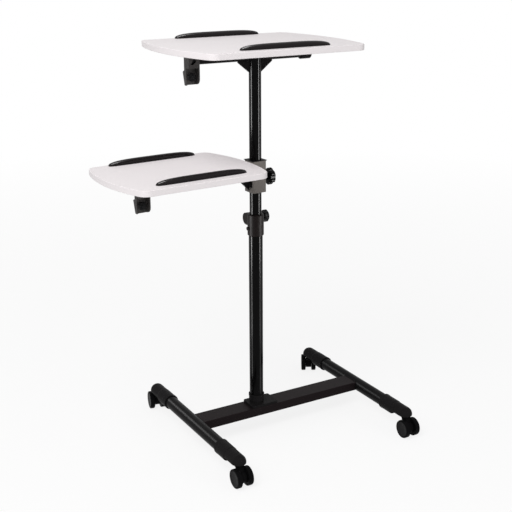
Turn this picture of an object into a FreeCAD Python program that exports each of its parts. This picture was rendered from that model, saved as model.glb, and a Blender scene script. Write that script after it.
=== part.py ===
import FreeCAD, Part
import math
import os

V = FreeCAD.Vector
AXIS_X = V(1, 0, 0)
AXIS_Y = V(0, 1, 0)
AXIS_Z = V(0, 0, 1)
GROUND = V(0, 0, 0)

# Place of the column in the part's frame; every other size is measured from the column's axis.
post_x = 29.30
post_y = -2.70

# Clearances.
seat_gap = 0.05
running_gap = 0.05
free_gap = 0.3
cut_over = 1.0
edge_tolerance = 0.01

# Base: leg tubes, their end caps and the crossbar.
left_leg_x = -195.0
right_leg_x = 338.0
leg_axis_z = 61.5
leg_radius = 18.0
tube_wall = 1.5
stem_y = 250.0
cap_start_y = 152.0
cap_radius = 21.0
cap_lip_radius = 21.5
cap_lip_length = 5.0
cap_lip_slope = 1.0
cap_sleeve_length = 50.0
cap_step_slope = 8.0
cap_tip_radius = 20.0
cap_tip_slope = 3.0
cap_tip_y = 246.0
cap_flat_drop = 2.5
leg_tube_end_gap = 12.0

crossbar_depth = 60.0
crossbar_height = 25.0
crossbar_top_z = 74.0
crossbar_wall = 2.0
crossbar_inset = 6.0
crossbar_edge = 2.5

# Casters.
wheel_radius = 25.5
wheel_outer_x = 22.5
wheel_inner_x = 9.5
wheel_edge = 2.0
wheel_inner_edge = 1.5
wheel_shoulder_share = 0.3
wheel_dish_radius = 22.0
wheel_dish_depth = 1.2
wheel_dish_slope = 0.6
axle_radius = 4.0
caster_trail = 12.0
web_half_width = 8.0
web_radius = 16.0
web_stalk_half = 10.0
neck_radius = 12.5
neck_clearance = 1.0
stem_radius = 5.0
stem_length = 16.0
front_left_turn_degrees = 0.0
front_right_turn_degrees = 0.0
back_left_turn_degrees = -12.0
back_right_turn_degrees = -30.0

# Column foot.
foot_left_x = -27.5
foot_right_x = 54.0
foot_depth = 57.0
foot_thickness = 7.0
foot_corner = 5.0
foot_edge = 1.0
foot_neck_radius = 20.2
foot_neck_height = 7.0
foot_collar_radius = 21.2
foot_collar_height = 25.5
foot_lip_radius = 22.0
foot_lip_height = 6.0

# Column tubes.
lower_tube_radius = 19.0
upper_tube_radius = 16.0
upper_tube_low_z = 330.0

# Height clamp on the lower tube.
collar_radius = 22.0
collar_low_z = 572.0
collar_height = 59.0
collar_edge = 2.0
collar_guide_length = 19.0
ear_axis_y = 32.0
ear_rise = 39.5
ear_radius = 16.0
ear_inner_x = 2.0
ear_outer_x = 13.0
collar_boss_radius = 5.0
collar_boss_x = -26.0
collar_boss_rise = 21.0
clamp_screw_radius = 4.0
height_knob_radius = 17.0
height_knob_lobe_radius = 4.5
height_knob_lobes = 7
height_knob_start_x = 40.0
height_knob_thickness = 15.0
height_knob_hub_radius = 8.0
height_screw_depth = 24.0

# Softened grip of every hand knob.
grip_core_share = 0.75
grip_back_edge = 2.0
grip_rim_spare = 0.5
grip_shoulder = 4.0
grip_crown = 1.2
grip_crown_inset = 3.0
grip_face_inset = 8.0

# Rails that carry the boards, and the gussets under them.
rail_radius = 11.0
rail_board_gap = 9.8
rail_end_gap = 1.0
upper_rail_right_x = 160.0
gusset_reach = 50.0
gusset_depth = 30.0
gusset_thickness = 4.0
gusset_edge_height = 3.0
side_gusset_reach = 34.0
side_gusset_depth = 36.0

# Boards.
board_thickness = 15.0
board_edge = 1.2
board_corner = 25.0
upper_board_low_z = 1066.8
upper_board_centre_x = -12.0
upper_board_width = 427.0
upper_board_depth = 401.0
upper_board_bow = 32.0
side_board_low_z = 764.7
side_board_centre_x = -234.5
side_board_width = 345.0
side_board_depth = 305.0
side_board_bow = 27.0
side_turn_degrees = 3.7

# Stop strips on both boards, let into shallow pockets.
stop_length = 251.0
stop_width = 20.0
stop_height = 13.5
stop_wall_share = 0.4
stop_tip_half = 2.5
stop_tip_height = 2.5
stop_plan_power = 12.0
stop_crown_power = 4.0
stop_stations = (-1.0, -0.985, -0.95, -0.88, -0.74, -0.5, 0.0, 0.5, 0.74, 0.88, 0.95, 0.985, 1.0)
stop_shift_x = 4.0
stop_front_inset = 27.0
stop_back_inset = 3.5
stop_pocket_depth = 1.0

# Saddles that hold a board to its rail.
saddle_length = 27.0
saddle_wall = 4.0
saddle_flange_length = 22.0
saddle_flange_half = 20.0
saddle_flange_thickness = 5.0
upper_saddle_x = 136.0
side_saddle_x = -112.0

# Folded tilt clamp at the left end of each rail, with its hand knob.
upper_tilt_x = -195.0
side_tilt_x = -350.5
tilt_width = 30.0
tilt_plate = 3.0
tilt_front_y = -15.0
tilt_back_y = 12.0
tilt_box_height = 39.0
tilt_slot_x = 12.8
tilt_slot_width = 7.6
tilt_slot_drop = 15.0
tilt_slot_height = 15.0
tilt_slot_lean = 7.0
tilt_tongue_front_y = 1.0
tilt_tongue_back_y = 20.0
tilt_tongue_low_back_y = 11.0
tilt_tongue_start = 49.0
tilt_tongue_rise = 4.0
tilt_tongue_drop = 82.0
tilt_tongue_corner = 3.0
tilt_seat_drop = 80.0
tilt_cheek_round = 16.0
tilt_knob_x = 11.2
tilt_knob_drop = 60.5
tilt_knob_radius = 10.8
tilt_knob_lobe_radius = 2.2
tilt_knob_lobes = 10
tilt_knob_thickness = 9.0
tilt_knob_back_gap = 5.0
tilt_knob_hub_radius = 6.0
tilt_screw_radius = 4.0
tilt_screw_reach = 5.0

# Sliding clamp of the side board, measured from the board's underside.
bush_radius = 18.0
bush_stand_out = 1.8
block_left_x = -20.5
block_right_x = 20.5
block_half_y = 22.0
block_edge = 4.0
block_rise = 12.3
block_drop = 72.0
block_window_half = 15.0
block_window_sill = 13.5
block_window_depth = 12.0
block_window_lintel = 2.0
star_drop = 36.7
star_radius = 23.0
star_lobe_radius = 6.5
star_lobes = 6
star_start_x = 38.0
star_thickness = 15.0
star_hub_radius = 9.0
star_screw_tip_x = 18.5


def block(x_low, x_high, y_low, y_high, z_low, z_high):
    """Box between two corners."""
    return Part.makeBox(x_high - x_low, y_high - y_low, z_high - z_low, V(x_low, y_low, z_low))


def rod(start, direction, length, radius):
    """Solid cylinder from a start point along a direction."""
    return Part.makeCylinder(radius, length, start, direction)


def pipe(start, direction, length, radius, wall):
    """Round tube with the given wall."""
    return rod(start, direction, length, radius).cut(rod(start, direction, length, radius - wall))


def prism(points, direction):
    """Polygon swept along a direction."""
    return Part.Face(Part.makePolygon(points + [points[0]])).extrude(direction)


def turned(profile, centre, axis):
    """Solid of revolution; profile points are (distance along the axis, radius)."""
    side = AXIS_Z if axis != AXIS_Z else AXIS_X
    points = [centre + axis * along + side * radius for along, radius in profile]
    face = Part.Face(Part.makePolygon(points + [points[0]]))
    return face.revolve(centre, axis, 360)


def lobed_disc(centre, axis, radius, lobe_radius, lobes, thickness):
    """Grip of a hand knob: a disc with round lobes on its rim and softened faces."""
    side = AXIS_Z
    other = axis.cross(side)
    core = rod(centre, axis, thickness, radius - lobe_radius * grip_core_share)
    for index in range(lobes):
        angle = 2 * math.pi * index / lobes
        spot = side * math.cos(angle) + other * math.sin(angle)
        core = core.fuse(rod(centre + spot * (radius - lobe_radius), axis, thickness, lobe_radius))
    core = core.removeSplitter()
    dome = turned([
        (0, 0),
        (0, radius - grip_back_edge),
        (grip_back_edge, radius + grip_rim_spare),
        (thickness - grip_shoulder, radius + grip_rim_spare),
        (thickness - grip_crown, radius - grip_crown_inset),
        (thickness, radius - grip_face_inset),
        (thickness, 0),
    ], centre, axis)
    return core.common(dome)


def board(width, depth, bow, low_z, centre_x):
    """Shelf board with straight front and back edges and bowed ends."""
    left = centre_x - width / 2
    right = centre_x + width / 2
    front = -depth / 2
    back = depth / 2
    corners = [V(left, front, low_z), V(right, front, low_z), V(right, back, low_z), V(left, back, low_z)]
    edges = [
        Part.makeLine(corners[0], corners[1]),
        Part.Arc(corners[1], V(right + bow, 0, low_z), corners[2]).toShape(),
        Part.makeLine(corners[2], corners[3]),
        Part.Arc(corners[3], V(left - bow, 0, low_z), corners[0]).toShape(),
    ]
    slab = Part.Face(Part.Wire(edges)).extrude(V(0, 0, board_thickness))
    uprights = [edge for edge in slab.Edges if abs(edge.BoundBox.ZLength - board_thickness) < edge_tolerance]
    slab = slab.makeFillet(board_corner, uprights)
    rims = [edge for edge in slab.Edges if edge.BoundBox.ZLength < edge_tolerance]
    return slab.makeFillet(board_edge, rims)


def stop_half_width(share):
    """Half width of a stop strip at a share of its half length."""
    fullness = math.sqrt(1 - abs(share) ** stop_plan_power)
    return stop_tip_half + (stop_width / 2 - stop_tip_half) * fullness


def stop_strip(centre_x, low_y, base_z):
    """Low crowned strip that keeps a device from sliding off its board, lofted through its cross-sections."""
    middle_y = low_y + stop_width / 2
    sections = []
    for share in stop_stations:
        x = centre_x + share * stop_length / 2
        rise = math.sqrt(1 - abs(share) ** stop_crown_power)
        half = stop_half_width(share)
        top = stop_tip_height + (stop_height - stop_tip_height) * rise
        low_a = V(x, middle_y - half, base_z - stop_pocket_depth)
        low_b = V(x, middle_y + half, base_z - stop_pocket_depth)
        high_a = V(x, middle_y - half, base_z + top * stop_wall_share)
        high_b = V(x, middle_y + half, base_z + top * stop_wall_share)
        sections.append(Part.Wire([
            Part.makeLine(low_b, low_a),
            Part.makeLine(low_a, high_a),
            Part.Arc(high_a, V(x, middle_y, base_z + top), high_b).toShape(),
            Part.makeLine(high_b, low_b),
        ]))
    return Part.makeLoft(sections, True, False)


def stop_pocket(centre_x, low_y, base_z):
    """Shallow pocket in a board that takes the foot of a stop strip."""
    middle_y = low_y + stop_width / 2
    sections = []
    for share in stop_stations:
        x = centre_x + share * (stop_length / 2 + free_gap)
        half = stop_half_width(share) + free_gap
        low_z = base_z - stop_pocket_depth
        high_z = base_z + cut_over
        corners = [V(x, middle_y + half, low_z), V(x, middle_y - half, low_z),
                   V(x, middle_y - half, high_z), V(x, middle_y + half, high_z)]
        sections.append(Part.makePolygon(corners + [corners[0]]))
    return Part.makeLoft(sections, True, False)


def leg_cap(leg_x, forward):
    """Plastic end cap of a leg tube; forward is -1 at the front and +1 at the back."""
    axis = AXIS_Y * forward
    centre = V(leg_x, 0, leg_axis_z)
    sleeve_end = cap_start_y + cap_sleeve_length
    profile = [
        (cap_start_y, leg_radius),
        (cap_start_y, cap_lip_radius),
        (cap_start_y + cap_lip_length, cap_lip_radius),
        (cap_start_y + cap_lip_length + cap_lip_slope, cap_radius),
        (sleeve_end, cap_radius),
        (sleeve_end + cap_tip_slope, cap_tip_radius),
        (cap_tip_y, cap_tip_radius),
        (cap_tip_y, 0),
        (leg_tube_half, 0),
        (leg_tube_half, leg_radius),
    ]
    shell = turned(profile, centre, axis)
    end = Part.makeSphere(cap_tip_radius, V(leg_x, cap_tip_y * forward, leg_axis_z))
    solid = shell.fuse(end).removeSplitter()
    flat_z = leg_axis_z - cap_flat_drop
    low_z = leg_axis_z - cap_lip_radius
    far_y = cap_tip_y + cap_tip_radius + cut_over
    side = V(leg_x - cap_lip_radius - cut_over, 0, 0)
    relief = prism([
        side + V(0, (sleeve_end - cap_step_slope) * forward, low_z - cut_over),
        side + V(0, sleeve_end * forward, flat_z),
        side + V(0, far_y * forward, flat_z),
        side + V(0, far_y * forward, low_z - cut_over),
    ], AXIS_X * 2 * (cap_lip_radius + cut_over))
    solid = solid.cut(relief)
    solid = solid.cut(rod(V(leg_x, 0, leg_axis_z), axis, leg_tube_half + seat_gap, leg_radius + seat_gap))
    bore = rod(V(leg_x, stem_y * forward, flat_z - cut_over), AXIS_Z, cut_over + stem_length + free_gap,
               stem_radius + running_gap)
    return solid.cut(bore).removeSplitter()


def caster_body(leg_x, forward):
    """Swivelling middle of a twin-wheel caster: stem, neck and web with the axle hole."""
    stem = V(leg_x, stem_y * forward, 0)
    axle = V(leg_x, (stem_y + caster_trail) * forward, wheel_radius)
    neck_low_z = 2 * wheel_radius + neck_clearance
    neck_top_z = leg_axis_z - cap_flat_drop - free_gap
    neck = rod(stem + V(0, 0, neck_low_z), AXIS_Z, neck_top_z - neck_low_z, neck_radius)
    pin = rod(stem + V(0, 0, neck_low_z), AXIS_Z, neck_top_z + stem_length - neck_low_z, stem_radius)
    web_side = V(-web_half_width, 0, 0)
    hub = rod(axle + web_side, AXIS_X, 2 * web_half_width, web_radius)
    stalk = prism([
        axle + web_side + V(0, -web_stalk_half, 0),
        axle + web_side + V(0, web_stalk_half, 0),
        stem + web_side + V(0, web_stalk_half, neck_low_z),
        stem + web_side + V(0, -web_stalk_half, neck_low_z),
    ], V(2 * web_half_width, 0, 0))
    body = neck.fuse(pin).fuse(hub).fuse(stalk)
    hole = rod(axle + web_side * 2, AXIS_X, 4 * web_half_width, axle_radius + running_gap)
    return body.cut(hole).removeSplitter()


def wheel_pair(leg_x, forward):
    """Two caster wheels on their axle."""
    centre = V(leg_x, (stem_y + caster_trail) * forward, wheel_radius)
    pair = rod(centre - AXIS_X * wheel_inner_x, AXIS_X, 2 * wheel_inner_x, axle_radius)
    shoulder = wheel_edge * wheel_shoulder_share
    profile = [
        (wheel_inner_x, 0),
        (wheel_inner_x, wheel_radius - wheel_inner_edge),
        (wheel_inner_x + wheel_inner_edge, wheel_radius),
        (wheel_outer_x - wheel_edge, wheel_radius),
        (wheel_outer_x - shoulder, wheel_radius - shoulder),
        (wheel_outer_x, wheel_radius - wheel_edge),
        (wheel_outer_x, wheel_dish_radius),
        (wheel_outer_x - wheel_dish_depth, wheel_dish_radius - wheel_dish_slope),
        (wheel_outer_x - wheel_dish_depth, 0),
    ]
    return pair.fuse(turned(profile, centre, AXIS_X)).fuse(turned(profile, centre, -AXIS_X)).removeSplitter()


def saddle(start_x, rail_z, underside_z):
    """Strap round a rail with a screw flange under the board."""
    radius = rail_radius + saddle_wall
    cradle = rod(V(start_x, 0, rail_z), AXIS_X, saddle_length, radius)
    cradle = cradle.fuse(block(start_x, start_x + saddle_length, -radius, radius, rail_z, underside_z))
    flange_end_x = start_x + saddle_length + saddle_flange_length
    flange = block(start_x, flange_end_x, -saddle_flange_half, saddle_flange_half,
                   underside_z - saddle_flange_thickness, underside_z)
    body = cradle.fuse(flange)
    hole = rod(V(start_x - cut_over, 0, rail_z), AXIS_X, saddle_length + saddle_flange_length + 2 * cut_over,
               rail_radius + running_gap)
    return body.cut(hole).removeSplitter()


def tilt_clamp(left_x, rail_z, underside_z):
    """Folded clamp at a rail's end: a box round the rail, a slotted front, and a seat and tongue below it."""
    right_x = left_x + tilt_width
    box_low_z = underside_z - tilt_box_height
    box = block(left_x, right_x, tilt_front_y, tilt_back_y, box_low_z, underside_z)
    box = box.cut(block(left_x + tilt_plate, right_x - tilt_plate,
                        tilt_front_y + tilt_plate, tilt_back_y + cut_over,
                        box_low_z + tilt_plate, underside_z - tilt_plate))
    slot_x = left_x + tilt_slot_x
    slot_y = tilt_front_y - cut_over
    slot_top_z = underside_z - tilt_slot_drop
    slot_low_z = slot_top_z - tilt_slot_height
    slot = prism([
        V(slot_x, slot_y, slot_top_z),
        V(slot_x + tilt_slot_width, slot_y, slot_top_z),
        V(slot_x + tilt_slot_width, slot_y, slot_low_z + tilt_slot_lean),
        V(slot_x, slot_y, slot_low_z),
        V(slot_x - tilt_slot_lean, slot_y, slot_low_z),
    ], V(0, tilt_plate + 2 * cut_over, 0))
    box = box.cut(slot)
    rail_hole = rod(V(right_x - 2 * tilt_plate, 0, rail_z), AXIS_X, 4 * tilt_plate, rail_radius + running_gap)
    box = box.cut(rail_hole)
    tongue = prism([
        V(left_x, tilt_tongue_front_y, underside_z - tilt_tongue_drop),
        V(left_x, tilt_tongue_low_back_y, underside_z - tilt_tongue_drop),
        V(left_x, tilt_tongue_back_y, underside_z - tilt_tongue_start),
        V(left_x, tilt_back_y, underside_z - tilt_tongue_start + tilt_tongue_rise),
        V(left_x, tilt_back_y, box_low_z + tilt_plate),
        V(left_x, tilt_tongue_front_y, box_low_z + tilt_plate),
    ], V(tilt_plate, 0, 0))
    tongue_low_z = underside_z - tilt_tongue_drop
    low_edges = [edge for edge in tongue.Edges if edge.BoundBox.ZMax < tongue_low_z + edge_tolerance
                 and edge.BoundBox.YLength < edge_tolerance]
    tongue = tongue.makeFillet(tilt_tongue_corner, low_edges)
    seat_low_z = underside_z - tilt_seat_drop
    seat = block(left_x, right_x, tilt_tongue_front_y, tilt_tongue_front_y + tilt_plate, seat_low_z,
                 box_low_z + tilt_plate)
    cheek = block(right_x - tilt_plate, right_x, tilt_front_y, tilt_tongue_front_y + tilt_plate, seat_low_z,
                  box_low_z + tilt_plate)
    front_edges = [edge for edge in cheek.Edges if edge.BoundBox.ZMax < seat_low_z + edge_tolerance
                   and edge.BoundBox.YMax < tilt_front_y + edge_tolerance]
    cheek = cheek.makeFillet(tilt_cheek_round, front_edges)
    body = box.fuse(tongue).fuse(seat).fuse(cheek)
    hole_start = V(left_x + tilt_knob_x, tilt_tongue_front_y - cut_over, underside_z - tilt_knob_drop)
    screw_hole = rod(hole_start, AXIS_Y, tilt_plate + 2 * cut_over, tilt_screw_radius + running_gap)
    return body.cut(screw_hole).removeSplitter()


def tilt_knob(left_x, underside_z):
    """Hand knob of a tilt clamp with its screw."""
    seat_face = V(left_x + tilt_knob_x, tilt_tongue_front_y, underside_z - tilt_knob_drop)
    grip_back = seat_face - AXIS_Y * tilt_knob_back_gap
    grip = lobed_disc(grip_back, -AXIS_Y, tilt_knob_radius, tilt_knob_lobe_radius, tilt_knob_lobes,
                      tilt_knob_thickness)
    hub = rod(grip_back, AXIS_Y, tilt_knob_back_gap - free_gap, tilt_knob_hub_radius)
    screw = rod(grip_back, AXIS_Y, tilt_knob_back_gap + tilt_plate + tilt_screw_reach, tilt_screw_radius)
    return grip.fuse(hub).fuse(screw).removeSplitter()


def turn_side(shape):
    """Turn a piece of the side shelf about the column to its place."""
    turned_shape = shape.copy()
    turned_shape.rotate(GROUND, AXIS_Z, side_turn_degrees)
    return turned_shape


nodes = {}

# Base.
leg_tube_half = cap_start_y + cap_sleeve_length - leg_tube_end_gap
caster_turns = {
    "front_left": front_left_turn_degrees,
    "front_right": front_right_turn_degrees,
    "back_left": back_left_turn_degrees,
    "back_right": back_right_turn_degrees,
}
for side_name, leg_x in (("left", left_leg_x), ("right", right_leg_x)):
    start = V(leg_x, -leg_tube_half, leg_axis_z)
    nodes[side_name + "_leg_tube"] = pipe(start, AXIS_Y, 2 * leg_tube_half, leg_radius, tube_wall)
    for end_name, forward in (("front", -1), ("back", 1)):
        corner = end_name + "_" + side_name
        nodes[corner + "_leg_cap"] = leg_cap(leg_x, forward)
        nodes[corner + "_caster_body"] = caster_body(leg_x, forward)
        nodes[corner + "_wheels"] = wheel_pair(leg_x, forward)
        for piece in ("_caster_body", "_wheels"):
            nodes[corner + piece].rotate(V(leg_x, stem_y * forward, 0), AXIS_Z, caster_turns[corner])

bar_low_z = crossbar_top_z - crossbar_height
half_depth = crossbar_depth / 2
bar_left_x = left_leg_x + crossbar_inset
bar_right_x = right_leg_x - crossbar_inset
crossbar = block(bar_left_x, bar_right_x, -half_depth, half_depth, bar_low_z, crossbar_top_z)
bar_length = bar_right_x - bar_left_x
long_edges = [edge for edge in crossbar.Edges if edge.BoundBox.XLength > bar_length - edge_tolerance]
crossbar = crossbar.makeFillet(crossbar_edge, long_edges)
crossbar = crossbar.cut(block(left_leg_x, right_leg_x, crossbar_wall - half_depth, half_depth - crossbar_wall,
                              bar_low_z + crossbar_wall, crossbar_top_z - crossbar_wall))
for leg_x in (left_leg_x, right_leg_x):
    crossbar = crossbar.cut(rod(V(leg_x, -leg_tube_half, leg_axis_z), AXIS_Y, 2 * leg_tube_half,
                                leg_radius + seat_gap))
nodes["crossbar"] = max(crossbar.Solids, key=lambda solid: solid.Volume)

# Column foot and lower tube.
foot_top_z = crossbar_top_z + foot_thickness
foot = block(foot_left_x, foot_right_x, -foot_depth / 2, foot_depth / 2, crossbar_top_z, foot_top_z)
uprights = [edge for edge in foot.Edges if abs(edge.BoundBox.ZLength - foot_thickness) < edge_tolerance]
foot = foot.makeFillet(foot_corner, uprights)
rims = [edge for edge in foot.Edges if edge.BoundBox.ZMin > foot_top_z - edge_tolerance]
foot = foot.makeFillet(foot_edge, rims)
foot = foot.fuse(turned([
    (0, 0),
    (0, foot_neck_radius),
    (foot_neck_height, foot_neck_radius),
    (foot_neck_height, foot_collar_radius),
    (foot_collar_height - foot_lip_height, foot_collar_radius),
    (foot_collar_height - foot_lip_height, foot_lip_radius),
    (foot_collar_height, foot_lip_radius),
    (foot_collar_height, 0),
], V(0, 0, foot_top_z), AXIS_Z))
foot = foot.cut(rod(V(0, 0, foot_top_z), AXIS_Z, foot_collar_height, lower_tube_radius + seat_gap))
nodes["column_foot"] = foot.removeSplitter()
lower_tube_top_z = collar_low_z + collar_height - collar_guide_length
lower_tube_length = lower_tube_top_z - foot_top_z
nodes["lower_tube"] = pipe(V(0, 0, foot_top_z), AXIS_Z, lower_tube_length, lower_tube_radius, tube_wall)

# Height clamp.
collar_foot = V(0, 0, collar_low_z)
ear_axis_z = collar_low_z + ear_rise
collar = turned([
    (0, 0),
    (0, collar_radius - collar_edge),
    (collar_edge, collar_radius),
    (collar_height - collar_edge, collar_radius),
    (collar_height, collar_radius - collar_edge),
    (collar_height, 0),
], collar_foot, AXIS_Z)
ear_width = ear_outer_x - ear_inner_x
for low_x in (-ear_outer_x, ear_inner_x):
    collar = collar.fuse(rod(V(low_x, ear_axis_y, ear_axis_z), AXIS_X, ear_width, ear_radius))
    collar = collar.fuse(block(low_x, low_x + ear_width, 0, ear_axis_y, ear_axis_z - ear_radius,
                               ear_axis_z + ear_radius))
collar = collar.fuse(rod(V(collar_boss_x, 0, collar_low_z + collar_boss_rise), AXIS_X, -collar_boss_x,
                         collar_boss_radius))
collar = collar.cut(rod(collar_foot, AXIS_Z, collar_height - collar_guide_length + seat_gap,
                        lower_tube_radius + seat_gap))
collar = collar.cut(rod(collar_foot, AXIS_Z, collar_height, upper_tube_radius + running_gap))
collar = collar.cut(block(-ear_inner_x, ear_inner_x, 0, ear_axis_y + ear_radius + cut_over, collar_low_z,
                          collar_low_z + collar_height))
screw_end_x = ear_outer_x - height_screw_depth
collar = collar.cut(rod(V(screw_end_x - free_gap, ear_axis_y, ear_axis_z), AXIS_X,
                        height_screw_depth + free_gap + cut_over, clamp_screw_radius + running_gap))
nodes["height_collar"] = collar.removeSplitter()

knob_face = V(height_knob_start_x, ear_axis_y, ear_axis_z)
height_knob = lobed_disc(knob_face, AXIS_X, height_knob_radius, height_knob_lobe_radius, height_knob_lobes,
                         height_knob_thickness)
height_knob = height_knob.fuse(rod(V(ear_outer_x + free_gap, ear_axis_y, ear_axis_z), AXIS_X,
                                   height_knob_start_x - ear_outer_x - free_gap, height_knob_hub_radius))
height_knob = height_knob.fuse(rod(V(screw_end_x, ear_axis_y, ear_axis_z), AXIS_X,
                                   height_knob_start_x - screw_end_x, clamp_screw_radius))
nodes["height_knob"] = height_knob.removeSplitter()

# Mast: upper tube, rail and gussets.
rail_drop = rail_board_gap + rail_radius
rail_z = upper_board_low_z - rail_drop
mast = pipe(V(0, 0, upper_tube_low_z), AXIS_Z, rail_z - upper_tube_low_z, upper_tube_radius, tube_wall)
saddle_cut = rod(V(-2 * upper_tube_radius, 0, rail_z), AXIS_X, 4 * upper_tube_radius, rail_radius + seat_gap)
mast = mast.cut(saddle_cut)
nodes["upper_tube"] = max(mast.Solids, key=lambda solid: solid.Volume)
upper_rail_left_x = upper_tilt_x + tilt_plate + rail_end_gap
nodes["upper_rail"] = pipe(V(upper_rail_left_x, 0, rail_z), AXIS_X, upper_rail_right_x - upper_rail_left_x,
                           rail_radius, tube_wall)
rail_low_z = rail_z - rail_radius - seat_gap
half_gusset = V(0, gusset_thickness / 2, 0)
for side_name, sign in (("left", -1), ("right", 1)):
    inner = sign * (upper_tube_radius + seat_gap)
    outer = sign * gusset_reach
    nodes[side_name + "_gusset"] = prism([
        V(inner, 0, rail_low_z - gusset_depth) - half_gusset,
        V(inner, 0, rail_low_z) - half_gusset,
        V(outer, 0, rail_low_z) - half_gusset,
        V(outer, 0, rail_low_z - gusset_edge_height) - half_gusset,
    ], half_gusset * 2)

# Upper board with its stops, saddle and tilt clamp.
upper_top_z = upper_board_low_z + board_thickness
upper_front_y = stop_front_inset - upper_board_depth / 2
upper_back_y = upper_board_depth / 2 - stop_back_inset - stop_width
upper_stop_x = upper_board_centre_x + stop_shift_x
upper_board = board(upper_board_width, upper_board_depth, upper_board_bow, upper_board_low_z,
                    upper_board_centre_x)
for low_y in (upper_front_y, upper_back_y):
    upper_board = upper_board.cut(stop_pocket(upper_stop_x, low_y, upper_top_z))
nodes["upper_board"] = upper_board
nodes["upper_front_stop"] = stop_strip(upper_stop_x, upper_front_y, upper_top_z)
nodes["upper_back_stop"] = stop_strip(upper_stop_x, upper_back_y, upper_top_z)
nodes["upper_saddle"] = saddle(upper_saddle_x, rail_z, upper_board_low_z)
nodes["upper_tilt_clamp"] = tilt_clamp(upper_tilt_x, rail_z, upper_board_low_z)
nodes["upper_tilt_knob"] = tilt_knob(upper_tilt_x, upper_board_low_z)

# Sliding clamp of the side shelf.
block_low_z = side_board_low_z - block_drop
block_top_z = side_board_low_z + block_rise
bush_low_z = block_low_z - bush_stand_out
bush_top_z = block_top_z + bush_stand_out
bush_foot = V(0, 0, bush_low_z)
bush = rod(bush_foot, AXIS_Z, bush_top_z - bush_low_z, bush_radius)
nodes["side_bush"] = bush.cut(rod(bush_foot, AXIS_Z, bush_top_z - bush_low_z, upper_tube_radius + running_gap))
side_rail_z = side_board_low_z - rail_drop
side_rail_low_z = side_rail_z - rail_radius - seat_gap
star_axis_z = side_board_low_z - star_drop
clamp = block(block_left_x, block_right_x, -block_half_y, block_half_y, block_low_z, block_top_z)
block_height = block_top_z - block_low_z
uprights = [edge for edge in clamp.Edges if abs(edge.BoundBox.ZLength - block_height) < edge_tolerance]
clamp = clamp.makeFillet(block_edge, uprights)
clamp = clamp.cut(rod(V(0, 0, block_low_z), AXIS_Z, block_height, bush_radius + running_gap))
window_end_x = block_left_x + block_window_depth
clamp = clamp.cut(block(block_left_x, window_end_x, -block_window_half, block_window_half,
                        block_low_z + block_window_sill, side_rail_low_z - block_window_lintel))
clamp = clamp.cut(rod(V(0, 0, star_axis_z), AXIS_X, block_right_x, clamp_screw_radius + running_gap))
nodes["side_clamp_block"] = turn_side(clamp)
side_rail_left_x = side_tilt_x + tilt_plate + rail_end_gap
side_rail_right_x = block_left_x - seat_gap
side_rail_length = side_rail_right_x - side_rail_left_x
side_rail = pipe(V(side_rail_left_x, 0, side_rail_z), AXIS_X, side_rail_length, rail_radius, tube_wall)
nodes["side_rail"] = turn_side(side_rail)
side_gusset_end_x = side_rail_right_x - side_gusset_reach
nodes["side_gusset"] = turn_side(prism([
    V(side_rail_right_x, 0, side_rail_low_z - side_gusset_depth) - half_gusset,
    V(side_rail_right_x, 0, side_rail_low_z) - half_gusset,
    V(side_gusset_end_x, 0, side_rail_low_z) - half_gusset,
    V(side_gusset_end_x, 0, side_rail_low_z - gusset_edge_height) - half_gusset,
], half_gusset * 2))
star_back = V(star_start_x, 0, star_axis_z)
star = lobed_disc(star_back, AXIS_X, star_radius, star_lobe_radius, star_lobes, star_thickness)
star_hub_x = block_right_x + free_gap
star = star.fuse(rod(V(star_hub_x, 0, star_axis_z), AXIS_X, star_start_x - star_hub_x, star_hub_radius))
star = star.fuse(rod(V(star_screw_tip_x, 0, star_axis_z), AXIS_X, star_start_x - star_screw_tip_x,
                     clamp_screw_radius))
nodes["side_clamp_knob"] = turn_side(star.removeSplitter())

# Side board with its stops, saddle and tilt clamp.
side_top_z = side_board_low_z + board_thickness
side_front_y = stop_front_inset - side_board_depth / 2
side_back_y = side_board_depth / 2 - stop_back_inset - stop_width
side_stop_x = side_board_centre_x + stop_shift_x
side_board = board(side_board_width, side_board_depth, side_board_bow, side_board_low_z,
                   side_board_centre_x)
for low_y in (side_front_y, side_back_y):
    side_board = side_board.cut(stop_pocket(side_stop_x, low_y, side_top_z))
nodes["side_board"] = turn_side(side_board)
nodes["side_front_stop"] = turn_side(stop_strip(side_stop_x, side_front_y, side_top_z))
nodes["side_back_stop"] = turn_side(stop_strip(side_stop_x, side_back_y, side_top_z))
nodes["side_saddle"] = turn_side(saddle(side_saddle_x, side_rail_z, side_board_low_z))
nodes["side_tilt_clamp"] = turn_side(tilt_clamp(side_tilt_x, side_rail_z, side_board_low_z))
nodes["side_tilt_knob"] = turn_side(tilt_knob(side_tilt_x, side_board_low_z))

os.makedirs("parts", exist_ok=True)
for name, shape in nodes.items():
    placed = shape.copy()
    placed.translate(V(post_x, post_y, 0))
    if placed.ShapeType == "Compound" and len(placed.Solids) == 1:
        placed = placed.Solids[0]
    if not placed.isValid() or len(placed.Solids) != 1:
        print("check", name, placed.ShapeType, len(placed.Solids), placed.isValid())
    placed.exportStep(os.path.join("parts", name + ".step"))
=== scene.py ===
"""Looks of a rolling projector table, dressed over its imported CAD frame.

Every length is in metres. Each piece takes its place from the boxes of the CAD nodes that it
belongs to.
"""

import logging
import math
from dataclasses import dataclass
from enum import Enum
from typing import Protocol, Sequence

import bmesh
import bpy
from mathutils import Matrix, Vector


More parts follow.
